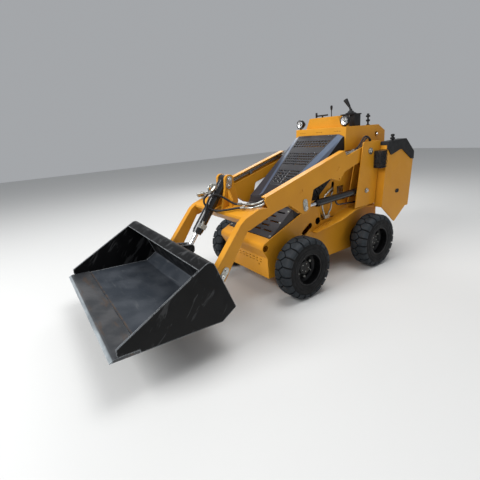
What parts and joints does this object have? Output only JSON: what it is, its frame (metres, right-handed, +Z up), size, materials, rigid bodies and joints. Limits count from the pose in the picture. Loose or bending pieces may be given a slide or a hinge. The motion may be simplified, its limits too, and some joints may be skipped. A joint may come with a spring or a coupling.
{
  "type": "skid steer loader",
  "caption": "Compact stand-on skid steer loader with a wide bucket on twin bent arms, solid tyres, a sloping vented hood and a hand-lever console.",
  "frame": {"origin": "middle of the machine's overall length and width, on the ground under its wheels", "axes": "-Y towards the bucket, +X to the machine's left side, +Z up"},
  "size_m": [1.232, 2.8121, 1.4233],
  "materials": {
    "machine_yellow": "satin enamel",
    "black_enamel": "satin black enamel",
    "hood_grey": "satin dark grey enamel",
    "bucket_black": "worn black enamel",
    "edge_steel": "worn bright steel",
    "wheel_black": "satin black enamel",
    "tyre_rubber": "solid tyre rubber",
    "cylinder_black": "gloss black enamel",
    "chrome_rod": "hard chrome",
    "zinc": "zinc plated",
    "moulded_black": "moulded black plastic",
    "lamp_black": "black housing",
    "engine": null,
    "hose_rubber": "braided black hose"
  },
  "bodies": {
    "machine_frame": {"chassis_frame": "machine_yellow", "wheel_motors": "black_enamel", "fender_left": "machine_yellow", "fender_right": "machine_yellow", "tower_left": "machine_yellow", "tower_right": "machine_yellow", "tower_pins": "zinc", "wing_left": "machine_yellow", "wing_right": "machine_yellow", "pad_left": "moulded_black", "pad_right": "moulded_black", "console": "machine_yellow", "cowl": "machine_yellow", "work_lamps": "lamp_black", "joystick": "moulded_black", "hand_levers": "moulded_black", "knob_stand": "moulded_black", "hood": "hood_grey", "front_cover": "hood_grey", "bay_panel_left": "machine_yellow", "bay_panel_right": "machine_yellow", "rear_panel": "machine_yellow", "engine_block": "engine", "platform": "black_enamel", "hood_screen": "hood_grey", "frame_fittings": "zinc", "guard_box": "moulded_black", "pad_knob": "moulded_black"},
    "boom": {"arm_left": "machine_yellow", "arm_right": "machine_yellow", "crossmember": "machine_yellow", "boom_pins": "zinc", "boom_fittings": "zinc", "tilt_hose_rod": "hose_rubber", "tilt_hose_base": "hose_rubber", "pivot_hose_left_inner": "hose_rubber", "pivot_hose_left_outer": "hose_rubber", "pivot_hose_right_inner": "hose_rubber", "pivot_hose_right_outer": "hose_rubber"},
    "bucket": {"bucket_shell": "bucket_black", "cutting_edge": "edge_steel", "bucket_brackets": "bucket_black"},
    "tilt_barrel_body": {"tilt_barrel": "cylinder_black", "tilt_fittings": "zinc"},
    "tilt_rod_body": {"tilt_rod": "chrome_rod"},
    "lift_barrel_body_left": {"lift_barrel_left": "cylinder_black"},
    "lift_rod_body_left": {"lift_rod_left": "chrome_rod"},
    "lift_barrel_body_right": {"lift_barrel_right": "cylinder_black"},
    "lift_rod_body_right": {"lift_rod_right": "chrome_rod"},
    "wheel_front_left": {"rim_front_left": "wheel_black", "tyre_front_left": "tyre_rubber"},
    "wheel_front_right": {"rim_front_right": "wheel_black", "tyre_front_right": "tyre_rubber"},
    "wheel_rear_left": {"rim_rear_left": "wheel_black", "tyre_rear_left": "tyre_rubber"},
    "wheel_rear_right": {"rim_rear_right": "wheel_black", "tyre_rear_right": "tyre_rubber"}
  },
  "joints": [
    {"name": "boom_lift", "type": "hinge", "parent": "machine_frame", "child": "boom", "pos_m": [0, 0.845, 0.982], "axis": [-1, 0, 0], "range_deg": [-7, 60]},
    {"name": "bucket_tilt", "type": "hinge", "parent": "boom", "child": "bucket", "pos_m": [0, -0.65, 0.334], "axis": [1, 0, 0], "range_deg": [-25, 100]},
    {"name": "tilt_barrel_swing", "type": "hinge", "parent": "boom", "child": "tilt_barrel_body", "pos_m": [0, -0.344, 0.885], "axis": [1, 0, 0], "range_deg": [-1.07, 1.3]},
    {"name": "tilt_rod_slide", "type": "slide", "parent": "tilt_barrel_body", "child": "tilt_rod_body", "axis": [0, -0.6083, -0.7937], "range_m": [-0.0424, 0.1634]},
    {"name": "lift_barrel_swing_left", "type": "hinge", "parent": "machine_frame", "child": "lift_barrel_body_left", "pos_m": [0.348, 0.801, 0.66], "axis": [-1, 0, 0], "range_deg": [-7.41, 55.94]},
    {"name": "lift_rod_slide_left", "type": "slide", "parent": "lift_barrel_body_left", "child": "lift_rod_body_left", "axis": [0, -0.9995, -0.0327], "range_m": [-0.0393, 0.3213]},
    {"name": "lift_barrel_swing_right", "type": "hinge", "parent": "machine_frame", "child": "lift_barrel_body_right", "pos_m": [-0.348, 0.801, 0.66], "axis": [-1, 0, 0], "range_deg": [-7.41, 55.94]},
    {"name": "lift_rod_slide_right", "type": "slide", "parent": "lift_barrel_body_right", "child": "lift_rod_body_right", "axis": [0, -0.9995, -0.0327], "range_m": [-0.0393, 0.3213]},
    {"name": "wheel_spin_front_left", "type": "hinge", "parent": "machine_frame", "child": "wheel_front_left", "pos_m": [0.435, -0.007, 0.225], "axis": [1, 0, 0], "continuous": true},
    {"name": "wheel_spin_front_right", "type": "hinge", "parent": "machine_frame", "child": "wheel_front_right", "pos_m": [-0.435, -0.007, 0.225], "axis": [1, 0, 0], "continuous": true},
    {"name": "wheel_spin_rear_left", "type": "hinge", "parent": "machine_frame", "child": "wheel_rear_left", "pos_m": [0.435, 0.846, 0.225], "axis": [1, 0, 0], "continuous": true},
    {"name": "wheel_spin_rear_right", "type": "hinge", "parent": "machine_frame", "child": "wheel_rear_right", "pos_m": [-0.435, 0.846, 0.225], "axis": [1, 0, 0], "continuous": true}
  ],
  "couplings": [
    {"joint": "tilt_barrel_swing", "follows": "bucket_tilt", "ratio": 0.003},
    {"joint": "tilt_rod_slide", "follows": "bucket_tilt", "m_per_rad": 0.0925},
    {"joint": "lift_barrel_swing_left", "follows": "boom_lift", "ratio": 0.9157},
    {"joint": "lift_rod_slide_left", "follows": "boom_lift", "m_per_rad": 0.3049},
    {"joint": "lift_barrel_swing_right", "follows": "boom_lift", "ratio": 0.9157},
    {"joint": "lift_rod_slide_right", "follows": "boom_lift", "m_per_rad": 0.3049}
  ]
}
